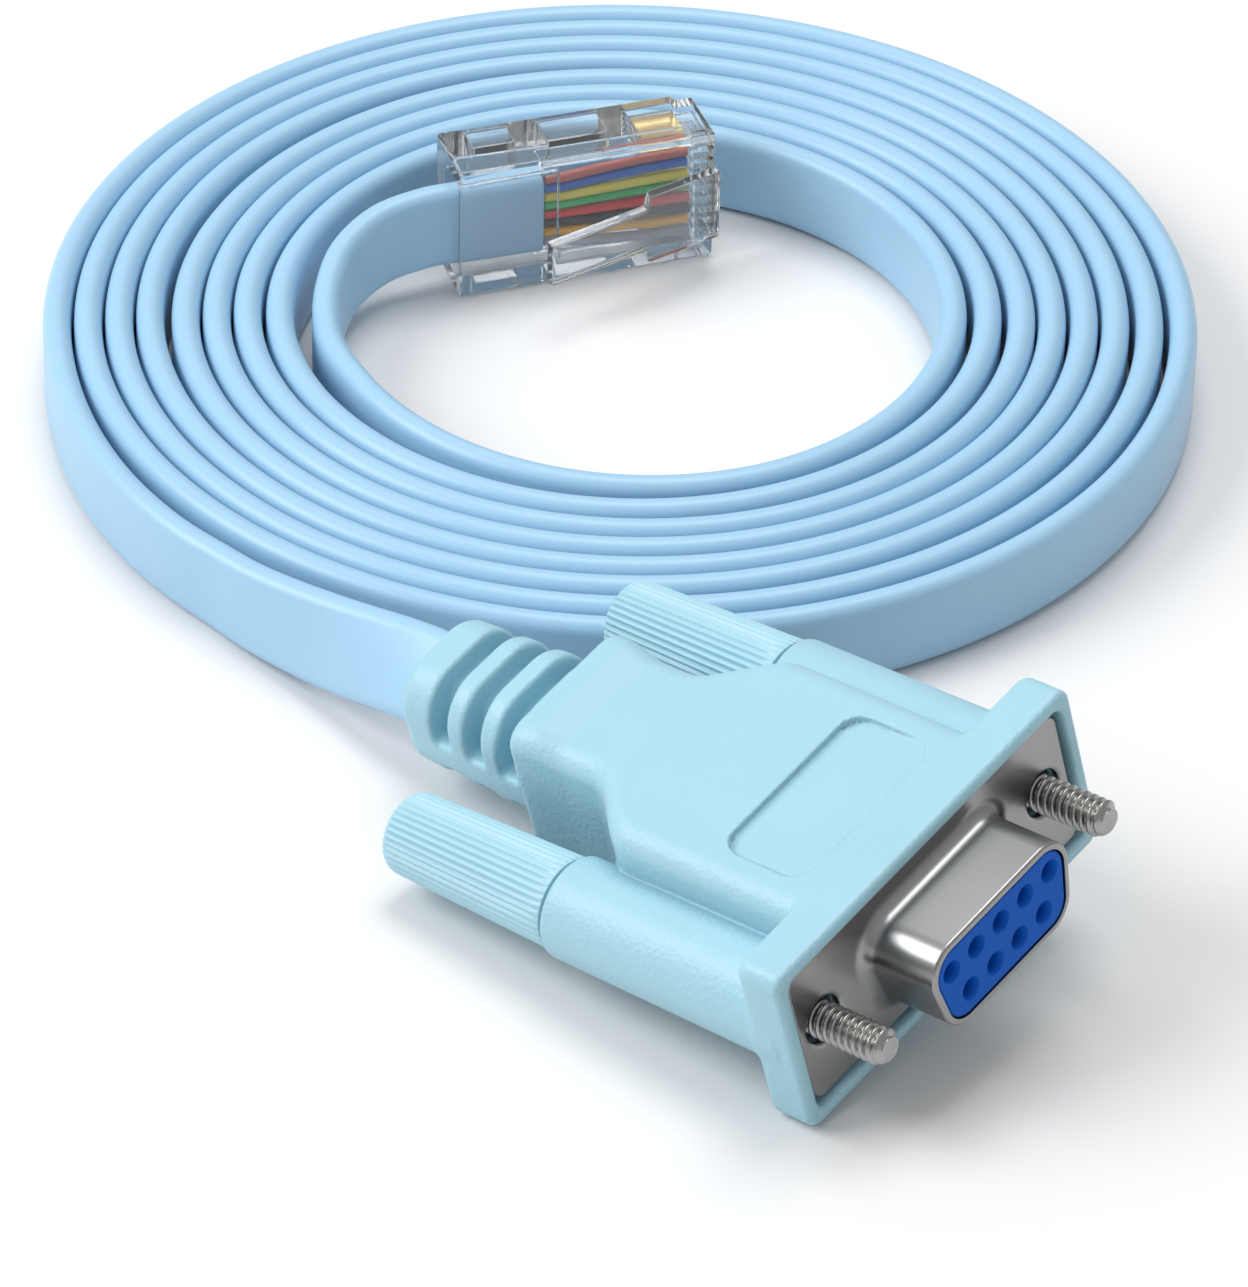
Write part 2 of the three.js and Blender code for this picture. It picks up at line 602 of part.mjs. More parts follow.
// The latch springs out from the nose: a broad root, shoulders, and a narrow tail
function latch() {
  const middleZ = PLUG_WIDTH / 2;
  const outline = new THREE.Shape([
    [PLUG_LENGTH, -GAP], [PLUG_LENGTH, LATCH_ROOT_Y],
    [PLUG_LENGTH - LATCH_THICKNESS, LATCH_ROOT_Y - GAP],
    [LATCH_FREE_X, LATCH_FREE_Y - LATCH_THICKNESS], [LATCH_FREE_X, LATCH_FREE_Y],
    [PLUG_LENGTH - 2 * LATCH_THICKNESS, -GAP],
  ].map(([x, y]) => new THREE.Vector2(x, y)));
  const strip = new THREE.ExtrudeGeometry(outline, { depth: LATCH_ROOT_WIDTH, bevelEnabled: false })
    .translate(0, 0, middleZ - LATCH_ROOT_WIDTH / 2);
  const farY = LATCH_FREE_Y - LATCH_THICKNESS - OVERSHOOT;
  const sideCuts = [-1, 1].map((side) => {
    const [a, b] = [middleZ + side * LATCH_TAIL_WIDTH / 2, middleZ + side * LATCH_ROOT_WIDTH];
    return solid(box([0, farY, Math.min(a, b)], [LATCH_SHOULDER_X, OVERSHOOT, Math.max(a, b)]));
  });
  return solid(strip).subtract(union(sideCuts));
}

function modularPlug() {
  const group = new THREE.Group();
  group.add(piece('plug_body', plugBody(), clearPlastic()));
  group.add(piece('plug_latch', latch(), clearPlastic()));
  Object.entries(wireColours).reverse().forEach(([colour, value], index) => {
    group.add(piece(`wire_${colour}`, plugWire(index), paint(value, 0.4, 0)));
    group.add(piece(`contact_blade_${index + 1}`, contactBlade(index), goldPlate()));
  });
  group.rotation.z = PLUG_HEADING * DEGREES;
  group.position.set(PLUG_REAR[0], PLUG_REAR[1], 0);
  return group;
}

const dConnector = connector();
const part = new THREE.Group();
part.add(
  dConnector,
  piece('cable_lead', flatCable(LEAD_ROUTE, LEAD_STEPS), cablePlastic()),
  piece('cable_coil', coil(), cablePlastic()),
  piece('cable_tail', flatCable(TAIL_ROUTE, TAIL_STEPS), cablePlastic()),
  modularPlug(),
);

// Bring the middle of the D connector's footprint over the origin
const footprint = new THREE.Box3().setFromObject(dConnector, true).getCenter(new THREE.Vector3());
part.position.set(-footprint.x, -footprint.y, 0);
part.updateMatrixWorld(true);

export default part;
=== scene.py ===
"""Looks of the flat serial console cable: blue vinyl jacket, moulded D connector, clear modular plug.

Sizes are millimetres in each piece's own frame, and become metres in the row frame when a mesh is made.
"""

import json
import math

import bmesh
import bpy
import numpy as np
from mathutils import Matrix, Quaternion, Vector


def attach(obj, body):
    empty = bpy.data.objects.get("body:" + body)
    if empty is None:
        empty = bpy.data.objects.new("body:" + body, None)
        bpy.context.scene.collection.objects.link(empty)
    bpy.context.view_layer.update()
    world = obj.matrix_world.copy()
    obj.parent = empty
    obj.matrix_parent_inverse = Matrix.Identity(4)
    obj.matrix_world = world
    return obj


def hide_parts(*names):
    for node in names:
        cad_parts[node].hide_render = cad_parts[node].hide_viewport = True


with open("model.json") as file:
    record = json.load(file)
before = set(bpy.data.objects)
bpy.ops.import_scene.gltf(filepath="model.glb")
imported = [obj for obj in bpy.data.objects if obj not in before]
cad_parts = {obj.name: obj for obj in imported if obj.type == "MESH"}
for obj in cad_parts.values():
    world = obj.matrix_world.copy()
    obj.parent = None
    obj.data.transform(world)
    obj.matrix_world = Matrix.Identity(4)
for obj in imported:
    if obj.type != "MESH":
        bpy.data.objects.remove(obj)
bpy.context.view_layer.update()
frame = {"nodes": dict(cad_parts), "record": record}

MM = 0.001
ROOT = "cable_and_housings"
mounts = {mount["name"]: mount for mount in frame["record"]["mounts"]}
MATING_FACE = Vector(mounts["mating_face"]["pos_m"])
# part.mjs measures the coil, the routes and the plug from this place on the floor
ORIGIN = np.array([MATING_FACE.x, MATING_FACE.y, 0.0]) / MM

# Camera, solved from the photograph. The target is measured from ORIGIN, in millimetres.
CAMERA_TARGET = Vector((19.63, 51.97, 0.0) + ORIGIN) * MM
CAMERA_DISTANCE = 555.75 * MM
CAMERA_AZIMUTH = math.radians(-49.43)
CAMERA_ELEVATION = math.radians(36.03)
CAMERA_ROLL = 0.0261
CAMERA_LENS = 207.28
CAMERA_SENSOR = 36.0

# Studio. Lights: degrees to the camera's right and up, then metres away, metres across, watts
KEY_LIGHT = (-85, 40, 1.2, 0.8, 9.5)
TOP_LIGHT = (165, 74, 1.3, 0.8, 7)
SKY = ((0.05, 0.40), (0.7, 0.58))  # brightness near the horizon and high up, by height on the dome
FLOOR_HALF_SIZE = 3.0
FLOOR_DROP = 0.1 * MM

# Cable: the routes repeat the points of part.mjs, each [x, y, height of the middle, lean]
CABLE_WIDTH = 7.3
CABLE_THICKNESS = 2.2
CABLE_REST_HEIGHT = CABLE_WIDTH / 2
CABLE_EDGE_STEPS = 8
ROUTE_STEPS = 5
LEAD_ROUTE = [
    (-0.5, 52.3, 7.1, 40), (-0.4, 54.5, 6.75, 37), (-0.25, 57.2, 6.15, 32), (-0.1, 60.4, 5.4, 26),
    (0.02, 64.0, 4.7, 19), (0.1, 68.0, 4.15, 12), (0.25, 72.0, 3.8, 6), (0.62, 75.8, 3.65, 2),
]
TAIL_ROUTE = [
    (26.6, 88.2, 3.65, 0), (29.2, 91.6, 3.75, 0), (32.6, 94.5, 4.2, 0), (36.6, 96.5, 4.9, 0),
    (41.0, 96.9, 5.5, 0), (44.8, 95.7, 5.8, 0), (47.2, 94.4, 5.84, 0), (50.4, 92.55, 5.84, 0),
    (53.2, 90.93, 5.84, 0),
]
LEAD_INSIDE_RELIEF = 2.0
# The spiral runs clockwise from beyond the lead's end. Headings are degrees about its centre.
SPIRAL_CENTRE = (46.58, 75.776)
SPIRAL_FROM, SPIRAL_TO = 175.0, 157.0 - 8 * 360.0
SPIRAL_STEP = 5.0
SPIRAL_ZERO = 180.0
SPIRAL_RADIUS = 45.05  # at the heading SPIRAL_ZERO
SPIRAL_PITCH = 2.52
LEAD_SLACK, LEAD_SLACK_SPAN = 0.9, 40.0  # the first turn starts this much further out
TAIL_SLACK, TAIL_SLACK_SPAN = -1.15, 100.0  # and the last one ends this much further in
# How far each turn stands out at the left, back, right and front, as a hand left it
TURN_BULGES = [
    (0.0, -0.5, 0.3, 0.3), (0.0, -0.3, 0.3, 0.05), (0.0, -0.1, 0.3, -0.2), (0.0, 0.1, 0.25, -0.05),
    (0.0, -0.4, 0.2, 0.0), (0.0, -0.2, 0.2, 0.2), (0.0, 0.0, 0.2, 0.0), (0.0, 0.0, 0.1, -0.3),
]

# D connector, as in part.mjs: x along the rows of holes, y from the mating face back, z up
CONNECTOR_ROLL = math.radians(12.9)
CONNECTOR_NOSE_UP = math.radians(5.4)
CONNECTOR_YAW = math.radians(0.4)
GAP = 0.3
HOLE_PITCH = 2.77
ROW_SPACING = 2.84
TOP_ROW_HOLES = 5
INSULATOR_TOP_WIDTH = 14.7
INSULATOR_HEIGHT = 6.4
INSULATOR_LENGTH = 9.4
INSULATOR_FACE_Y = 0.04
INSULATOR_EDGE = 0.12
# Radius and depth along each hole, from its countersink to the room for the contact behind
HOLE_PROFILE = [
    (0.92, INSULATOR_FACE_Y), (0.86, 0.12), (0.62, 0.55), (0.6, 2.0), (1.1, 2.0), (1.1, INSULATOR_LENGTH),
]
D_SIDE_SLOPE = math.radians(10)
D_CORNER_RADIUS = 1.9
SHELL_WALL = 0.5
SHELL_CLEARANCE = 0.12
SHELL_LENGTH = 6.1
SHELL_FOOT_RADIUS = 1.2
SHELL_LIP_RADIUS = 0.22
PLATE_THICKNESS = 0.5
PLATE_WIDTH = 30.2
PLATE_HEIGHT = 11.8
PLATE_CORNER_RADIUS = 1.0
PLATE_EDGE = 0.12
SCREW_X = 12.5
BORE_RADIUS = 1.8
HOLE_LIP_REACH = 0.45
HOLE_LIP_DEPTH = 0.25
HOLE_SIDES = 36
FLANGE_FRONT_Y = 5.6
FLANGE_REAR_Y = 9.6
FLANGE_WIDTH = 33.1
FLANGE_HEIGHT = 14.7
FLANGE_CORNER_RADIUS = 1.2
FLANGE_FRONT_EDGE = 0.5
FLANGE_REAR_EDGE = 1.1
BODY_FRONT_Y = FLANGE_FRONT_Y + 1.5  # inside the flange
BODY_HALF_WIDTH = 10.4
BODY_HALF_HEIGHT = 6.95
BODY_REAR_RISE = 0.85
BODY_EDGE_RADIUS = 1.7
BODY_END_RADIUS = 0.9
SHOULDER_Y = 24.8
NECK_Y = 31.4
NECK_HALF_WIDTH = 6.1
BODY_REAR_Y = 39.2
# The body behind the neck widens, and its top dips and lifts again: each by, from y and to y
REAR_FLARE = (0.4, 34.0, 39.0)
TOP_DIP = (0.35, 29.0, 33.0)
TOP_LIFT = (0.55, 34.0, 37.5)
SLEEVE_RADIUS = 4.0
SLEEVE_TAPER = 0.0075  # radius lost in each millimetre behind SLEEVE_TAPER_Y
SLEEVE_TAPER_Y = 9.0
SLEEVE_END_RADIUS = 0.35
SLEEVE_REAR_Y = 29.0
SLEEVE_FILLET = 0.15
FLANGE_FILLET = 0.5
RELIEF_FILLET = 0.3
LABEL_FRONT_Y = 10.6
LABEL_HALF_WIDTH = 7.6
LABEL_HALF_LENGTH = 3.7
LABEL_CORNER_RADIUS = 1.8
LABEL_DEPTH = 0.12
LABEL_TILT = 0.07  # the panel's floor sinks this much in each millimetre towards the rear
LABEL_FOOT, LABEL_RIM = 0.15, 0.12
POCKET_FOOT, POCKET_RIM = 0.1, 0.3
BORE_RIM = 0.1
CAVITY_HALF_WIDTH, CAVITY_HALF_HEIGHT, CAVITY_CORNER_RADIUS = 7.7, 3.5, 1.5
RELIEF_FRONT_Y = BODY_REAR_Y - 1
RELIEF_REAR_Y = 51.8
RELIEF_RISE = 0.6
RELIEF_NARROWING = 0.1
RELIEF_HALF_WIDTH, RELIEF_HALF_HEIGHT, RELIEF_CORNER_RADIUS = 5.5, 5.2, 3.9
RELIEF_END_RADIUS = 1.0
CORE_HALF_WIDTH, CORE_HALF_HEIGHT, CORE_CORNER_RADIUS = 3.3, 3.1, 2.2
SLOT_COUNT = 3
SLOT_Y = 41.1
SLOT_PITCH = 3.35
SLOT_HALF_WIDTH = 0.8
UPPER_SLOT_Z, LOWER_SLOT_Z = -0.1, -2.6  # the web between the upper and the lower slots
UPPER_SLOT_FOOT, LOWER_SLOT_FOOT, SLOT_RIM = 0.5, 0.4, 0.45
HOOD_LOW, HOOD_HIGH = (-17.2, 5.1, -8.0), (17.2, 52.6, 8.0)
HOOD_STEP = 0.28
KNOB_FRONT_Y = SLEEVE_REAR_Y + GAP
KNOB_LENGTH = 15.6
KNOB_RADIUS = 3.5
KNOB_REAR_RADIUS = 3.115
KNOB_REAR_EDGE = 0.7
# Inset, distance back and share of the flutes' depth, along the knob's front edge
KNOB_FRONT_EDGE = [(0.35, 0.0, 0.0), (0.1, 0.12, 0.0), (0.0, 0.4, 0.5)]
KNOB_SIDE_SHARES = np.linspace(0.08, 0.94, 8)  # of its length, where its rings lie
KNOB_REAR_ANGLES = np.linspace(0.25, math.pi / 2, 5)
KNOB_FLUTES = 38
FLUTE_STEPS = 8
FLUTE_DEPTH = 0.2
FLUTE_SHARPNESS = 1.6
SCREW_RADIUS = 1.42
SCREW_TIP_Y = 0.4
SCREW_TIP_LENGTH = 0.5
SCREW_TIP_SHARE = 0.72
SCREW_REAR_Y = 34.4
SCREW_SIDES = 36
THREAD_PITCH = 0.635
THREAD_DEPTH = 0.36
THREAD_SHARPNESS = 1.4
THREAD_END_Y = 8.0
THREAD_RINGS = 14

# Modular plug, as in part.mjs: x from the rear to the nose, y from the latch to the contacts
PLUG_HEADING = math.radians(-30.0)
PLUG_REAR = (45.9, 92.7)
PLUG_LENGTH = 21.4
PLUG_THICKNESS = 6.6
PLUG_WIDTH = 11.68
PLUG_SIDE_EDGE, PLUG_END_EDGE = 0.35, 0.3
PLUG_LOW, PLUG_HIGH = (-0.5, -0.5, -0.5), (22.0, 7.2, 12.3)
PLUG_STEP = 0.17
PLUG_ROUNDING = 0.2
PLUG_RIM = 0.12
# Mouth for the jacket and channel for the wires: from x, to x, middle y, half height, half width, corner
MOUTH = (-2.0, 8.4, 2.3, 1.75, 4.35, 0.5)
MOUTH_NARROWING = 0.04
CHANNEL = (7.0, 19.9, 2.2, 0.85, 4.6, 0.4)
NOSE_STEP_X, NOSE_STEP_Y = 19.8, 5.8
WINDOWS = ((2.4, 6.0, 4.6), (8.4, 13.6, 3.9))  # from x, to x, floor y
WINDOW_TOP_Y = 7.5
WINDOW_HALF_WIDTH = 4.7
WINDOW_CORNER_RADIUS = 0.4
BLADE_PITCH = 1.02
BLADE_SLOT_HALF_WIDTH = 0.3
BLADE_SLOTS_HALF_WIDTH = 4.2
BLADE_SLOT_X, BLADE_SLOT_Y = 15.8, 2.2
LATCH_RUN, LATCH_DROP = 15.0, 4.7
LATCH_ROOT_Y = -0.9
LATCH_START = 0.1
LATCH_LENGTH = 16.6
LATCH_HALF_THICKNESS = 0.5
LATCH_HALF_WIDTH, LATCH_END_HALF_WIDTH = 3.2, 1.95
LATCH_SHOULDER_X = 14.6
LATCH_SHOULDER_SPAN = 0.2
LATCH_CORNER_RADIUS = 0.2
LATCH_END_RADIUS = 0.25
LATCH_LOW, LATCH_HIGH = (4.0, -7.0, 2.0), (22.0, 0.2, 9.6)
LATCH_STEP = 0.16
WIRE_RADIUS = 0.44
WIRE_Y = 2.1
WIRE_WAVE = 0.12
WIRE_WAVE_TURN = 2.4
WIRE_WAVE_X = (8.0, 12.0)
WIRE_FAN = ((7.6, 0.82), (9.4, 0.84), (12.5, 0.93), (16.0, 1.0), (19.5, 1.02))  # place and pitch
WIRE_SIDES = 16
WIRE_COLOURS = {  # from the top of the plug down
    "brown": (0.50, 0.12, 0.10), "blue": (0.01, 0.13, 0.55), "yellow": (0.78, 0.66, 0.08),
    "green": (0.03, 0.46, 0.12), "red": (0.75, 0.02, 0.02), "black": (0.015, 0.015, 0.02),
    "orange": (0.90, 0.42, 0.02), "grey": (0.34, 0.34, 0.38),
}

# Fields and meshes
SLANT = 0.8  # evens out the slope of a field across walls that slant
FAR = 1e3  # outside everything
SLOPE_REACH = 0.01  # a field's slope is measured this far either way
LEAST_SLOPE_SQUARED = 0.25
PULLS = 3  # times that each vertex is drawn onto the surface
SHARP_ANGLE = math.radians(35)
QUARTER_TURN = np.linspace(0, math.pi / 2, 7)


def turned(axis, angle):
    return Matrix.Rotation(angle, 4, axis)


connector_frame = (Matrix.Translation(MATING_FACE) @ turned("X", -CONNECTOR_NOSE_UP)
                   @ turned("Y", -CONNECTOR_ROLL) @ turned("Z", CONNECTOR_YAW))
plug_frame = Matrix.Translation(Vector((*PLUG_REAR, 0.0) + ORIGIN) * MM) @ turned("Z", PLUG_HEADING)
cable_frame = Matrix.Translation(Vector(ORIGIN) * MM)


# Camera, lights and floor

def link(thing):
    bpy.context.scene.collection.objects.link(thing)
    return thing


def from_camera(azimuth, elevation, distance):
    """A place that many degrees round the target from the camera, to its right if positive."""
    a = CAMERA_AZIMUTH + math.radians(azimuth)
    e = math.radians(elevation)
    way = Vector((math.sin(a) * math.cos(e), -math.cos(a) * math.cos(e), math.sin(e)))
    return CAMERA_TARGET + way * distance


def camera():
    data = bpy.data.cameras.new("camera")
    data.lens = CAMERA_LENS
    data.sensor_width = CAMERA_SENSOR
    eye = link(bpy.data.objects.new("camera", data))
    eye.location = from_camera(0, math.degrees(CAMERA_ELEVATION), CAMERA_DISTANCE)
    look = (CAMERA_TARGET - eye.location).to_track_quat("-Z", "Y")
    eye.rotation_euler = (look @ Quaternion((0, 0, 1), CAMERA_ROLL)).to_euler()
    bpy.context.scene.camera = eye


def area_light(name, azimuth, elevation, distance, size, power):
    data = bpy.data.lights.new(name, "AREA")
    data.shape = "DISK"
    data.size = size
    data.energy = power
    light = link(bpy.data.objects.new(name, data))
    light.location = from_camera(azimuth, elevation, distance)
    light.rotation_euler = (CAMERA_TARGET - light.location).to_track_quat("-Z", "Y").to_euler()


def studio():
    size = FLOOR_HALF_SIZE
    mesh = bpy.data.meshes.new("floor")
    corners = [(-size, -size, 0), (size, -size, 0), (size, size, 0), (-size, size, 0)]
    mesh.from_pydata(corners, [], [(0, 1, 2, 3)])
    mesh.materials.append(surface("floor", (0.80, 0.80, 0.805), 0.6, drift=0.01, drift_size=200))
    floor = link(bpy.data.objects.new("floor", mesh))
    floor.location.z = -FLOOR_DROP
    area_light("key", *KEY_LIGHT)
    area_light("top", *TOP_LIGHT)
    world = bpy.data.worlds.new("studio")
    world.use_nodes = True
    nodes, links = world.node_tree.nodes, world.node_tree.links
    way = nodes.new("ShaderNodeTexCoord")
    parts = nodes.new("ShaderNodeSeparateXYZ")
    links.new(way.outputs["Generated"], parts.inputs["Vector"])
    sky = nodes.new("ShaderNodeValToRGB")
    for stop, (height, level) in zip(sky.color_ramp.elements, SKY):
        stop.position = height
        stop.color = (level, level, level, 1)
    links.new(parts.outputs["Z"], sky.inputs["Fac"])
    links.new(sky.outputs["Color"], nodes["Background"].inputs["Color"])
    bpy.context.scene.world = world
    bpy.context.scene.view_settings.view_transform = "Standard"


# Materials

def surface(name, colour, roughness, metallic=0.0, drift=0.04, drift_size=8.0,
            grain=0.0, grain_size=0.3, clear=0.0, bend=1.5, gloss=0.5):
    """A material whose colour drifts by a share over drift_size mm, with a grain of that height in mm."""
    material = bpy.data.materials.new(name)
    material.use_nodes = True
    nodes, links = material.node_tree.nodes, material.node_tree.links
    shader = nodes["Principled BSDF"]
    shader.inputs["Roughness"].default_value = roughness
    shader.inputs["Metallic"].default_value = metallic
    shader.inputs["Transmission Weight"].default_value = clear
    shader.inputs["IOR"].default_value = bend
    shader.inputs["Specular IOR Level"].default_value = gloss
    place = nodes.new("ShaderNodeTexCoord")
    clouds = nodes.new("ShaderNodeTexNoise")
    clouds.inputs["Scale"].default_value = 1 / (drift_size * MM)
    links.new(place.outputs["Object"], clouds.inputs["Vector"])
    ramp = nodes.new("ShaderNodeValToRGB")
    for stop, share in ((0, 1 - drift), (1, 1 + drift)):
        ramp.color_ramp.elements[stop].color = (*[min(1.0, part * share) for part in colour], 1)
    links.new(clouds.outputs["Fac"], ramp.inputs["Fac"])
    links.new(ramp.outputs["Color"], shader.inputs["Base Color"])
    if grain:
        pits = nodes.new("ShaderNodeTexNoise")
        pits.inputs["Scale"].default_value = 1 / (grain_size * MM)
        links.new(place.outputs["Object"], pits.inputs["Vector"])
        bump = nodes.new("ShaderNodeBump")
        bump.inputs["Distance"].default_value = grain * MM
        links.new(pits.outputs["Fac"], bump.inputs["Height"])
        links.new(bump.outputs["Normal"], shader.inputs["Normal"])
    return material


hood_plastic = surface("hood_plastic", (0.33, 0.57, 0.67), 0.42, grain=0.07, grain_size=0.35)
knob_plastic = surface("knob_plastic", (0.36, 0.60, 0.70), 0.38, grain=0.006, grain_size=0.3)
jacket = surface("cable_jacket", (0.33, 0.55, 0.74), 0.36, drift=0.03, drift_size=15,
                 grain=0.003, grain_size=0.5)
nickelled_steel = surface("nickelled_steel", (0.33, 0.325, 0.32), 0.3, metallic=1.0,
                          drift=0.05, drift_size=3, grain=0.002, grain_size=0.15)
bright_steel = surface("screw_steel", (0.38, 0.375, 0.365), 0.26, metallic=1.0,
                       drift=0.08, drift_size=1.5)
blue_plastic = surface("insulator_plastic", (0.001, 0.10, 0.50), 0.5, gloss=0.12,
                       grain=0.004, grain_size=0.2)
gold = surface("contact_gold", (0.80, 0.58, 0.24), 0.22, metallic=1.0, drift=0.06, drift_size=1)
clear_plastic = surface("clear_plastic", (0.96, 0.98, 1.0), 0.03, clear=0.97, bend=1.3,
                        drift=0.01, drift_size=3)


# Mesh tools

def mesh_piece(name, points, faces, material, place, normals=None):
    """A piece from points and faces in its own frame, smooth but for its sharp edges."""
    mesh = bpy.data.meshes.new(name)
    turn = np.array(place.to_3x3())
    world = np.asarray(points, float) @ turn.T * MM + np.array(place.translation)
    mesh.from_pydata(world.tolist(), [], [list(face) for face in faces])
    if normals is None:
        made = bmesh.new()
        made.from_mesh(mesh)
        bmesh.ops.recalc_face_normals(made, faces=made.faces[:])
        made.to_mesh(mesh)
        made.free()
        mesh.shade_smooth()
        mesh.set_sharp_from_angle(angle=SHARP_ANGLE)
    else:
        mesh.shade_smooth()
        mesh.normals_split_custom_set_from_vertices((np.asarray(normals) @ turn.T).tolist())
    mesh.materials.append(material)
    return link(bpy.data.objects.new(name, mesh))


class Shape:
    """Points and faces gathered from rings, in a piece's own frame."""

    def __init__(self):
        self.points = []
        self.faces = []

    def ring(self, points):
        start = len(self.points)
        self.points.extend(tuple(point) for point in points)
        return list(range(start, len(self.points)))

    def loft(self, rings):
        """Rings of equal counts, each joined to the next. Returns the first and the last."""
        made = [self.ring(points) for points in rings]
        for a, b in zip(made, made[1:]):
            for index in range(len(a)):
                after = (index + 1) % len(a)
                self.faces.append((a[index], a[after], b[after], b[index]))
        return made[0], made[-1]

    def cap(self, ring):
        self.faces.append(tuple(ring))

    def fill(self, loops):
        """A flat face inside the first loop and outside the others."""
        made = bmesh.new()
        order = [index for loop in loops for index in loop]
        corners = [made.verts.new(self.points[index]) for index in order]
        made.verts.index_update()
        start = 0
        for loop in loops:
            ring = corners[start:start + len(loop)]
            for index, corner in enumerate(ring):
                made.edges.new((corner, ring[(index + 1) % len(ring)]))
            start += len(loop)
        bmesh.ops.triangle_fill(made, use_beauty=True, edges=made.edges[:])
        self.faces.extend(tuple(order[corner.index] for corner in face.verts) for face in made.faces)
        made.free()


def circle(radius, x, y, z, count=24):
    return [(x + radius * math.cos(2 * math.pi * step / count), y,
             z + radius * math.sin(2 * math.pi * step / count)) for step in range(count)]


def outline_ring(corners, radius, y, steps=8):
    """A convex outline in x and z, given anticlockwise, with each corner an arc."""
    points = []
    for index, corner in enumerate(corners):
        here = np.array(corner, float)
        before = np.array(corners[index - 1], float)
        after = np.array(corners[(index + 1) % len(corners)], float)
        ways = [(here - before), (after - here)]
        outward = [np.array([way[1], -way[0]]) / np.linalg.norm(way) for way in ways]
        centre = np.linalg.solve(np.array(outward), np.array([here @ n - radius for n in outward]))
        start, end = [math.atan2(n[1], n[0]) for n in outward]
        sweep = (end - start) % (2 * math.pi)
        for step in range(steps + 1):
            angle = start + sweep * step / steps
            points.append((centre[0] + radius * math.cos(angle), y, centre[1] + radius * math.sin(angle)))
    return points


# Rounded solids as fields: negative inside, and about the distance to the surface near it

def meet(a, b, radius=0.0):
    """What two solids share, with the edge between them rounded."""
    return np.minimum(-radius, np.maximum(a, b)) + np.hypot(
        np.maximum(a + radius, 0), np.maximum(b + radius, 0))


def join(a, b, radius=0.0):
    """Two solids as one, with the corner between them filled."""
    return -meet(-a, -b, radius)


def cut(a, b, radius=0.0):
    return meet(a, -b, radius)


def rounded_box(u, v, half_u, half_v, radius):
    du, dv = np.abs(u) - half_u + radius, np.abs(v) - half_v + radius
    return np.hypot(np.maximum(du, 0), np.maximum(dv, 0)) + np.minimum(np.maximum(du, dv), 0) - radius


def between(values, low, high):
    return np.maximum(low - values, values - high)


def ease(values, low, high):
    """0 before low, 1 after high, and smooth between them."""
    way = np.clip((values - low) / (high - low), 0, 1)
    return way * way * (3 - 2 * way)


def slope_of(field, points, reach=SLOPE_REACH):
    gradient = np.empty_like(points)
    for axis in range(3):
        shift = np.zeros(3)
        shift[axis] = reach
        gradient[:, axis] = (field(*(points + shift).T) - field(*(points - shift).T)) / (2 * reach)
    return gradient


def moulded(name, field, low, high, step, material, place):
    """A piece whose surface is where field(x, y, z) is zero, with vertices drawn onto it."""
    axes = [np.arange(a, b + step, step) for a, b in zip(low, high)]
    value = field(*np.meshgrid(*axes, indexing="ij"))
    inside = value < 0
    cells = tuple(size - 1 for size in value.shape)
    corners = [(i, j, k) for i in (0, 1) for j in (0, 1) for k in (0, 1)]

    def corner(array, offset):
        return array[tuple(slice(o, o + n) for o, n in zip(offset, cells))]

    count = sum(corner(inside, offset).astype(int) for offset in corners)
    mixed = (count > 0) & (count < len(corners))
    index = np.full(cells, -1)
    index[mixed] = np.arange(mixed.sum())
    at = {offset: corner(value, offset)[mixed] for offset in corners}
    total, crossings = np.zeros((mixed.sum(), 3)), np.zeros(mixed.sum())
    for first in corners:
        for axis in range(3):
            if first[axis]:
                continue
            second = tuple(1 if a == axis else o for a, o in enumerate(first))
            crossed = (at[first] < 0) != (at[second] < 0)
            way = at[first] / np.where(crossed, at[first] - at[second], 1)
            crossing = np.tile(np.array(first, float), (len(way), 1))
            crossing[:, axis] = way
            total += crossing * crossed[:, None]
            crossings += crossed
    points = np.array(low) + (np.argwhere(mixed) + total / crossings[:, None]) * step
    for _ in range(PULLS):
        gradient = slope_of(field, points)
        size = np.maximum((gradient ** 2).sum(1), LEAST_SLOPE_SQUARED)
        shift = gradient * (field(*points.T) / size)[:, None]
        points -= np.clip(shift, -step / 2, step / 2)
    faces = []
    for axis in range(3):
        b, c = (axis + 1) % 3, (axis + 2) % 3
        lower = [slice(1, -1)] * 3
        upper = [slice(1, -1)] * 3
        lower[axis], upper[axis] = slice(0, -1), slice(1, None)
        for sign in (True, False):
            starts = np.argwhere((inside[tuple(lower)] == sign) & (inside[tuple(upper)] != sign))
            starts[:, b] += 1
            starts[:, c] += 1
            loop = [(0, 0), (-1, 0), (-1, -1), (0, -1)]
            quad = []
            for db, dc in (loop if sign else loop[::-1]):
                cell = starts.copy()
                cell[:, b] += db
                cell[:, c] += dc
                quad.append(index[tuple(cell.T)])
            faces.append(np.stack(quad, 1))
    normals = slope_of(field, points)
    normals /= np.linalg.norm(normals, axis=1)[:, None]
    return mesh_piece(name, points, np.concatenate(faces), material, place, normals)


# Cable

def smooth_route(points, per_span):
    points = np.asarray(points, float)
    padded = np.vstack([2 * points[0] - points[1], points, 2 * points[-1] - points[-2]])
    rows = []
    for index in range(len(points) - 1):
        a, b, c, d = padded[index:index + 4]
        for t in np.arange(per_span) / per_span:
            rows.append(0.5 * (2 * b + (c - a) * t + (2 * a - 5 * b + 4 * c - d) * t ** 2
                               + (3 * b - a - 3 * c + d) * t ** 3))
    return np.array(rows + [points[-1]])


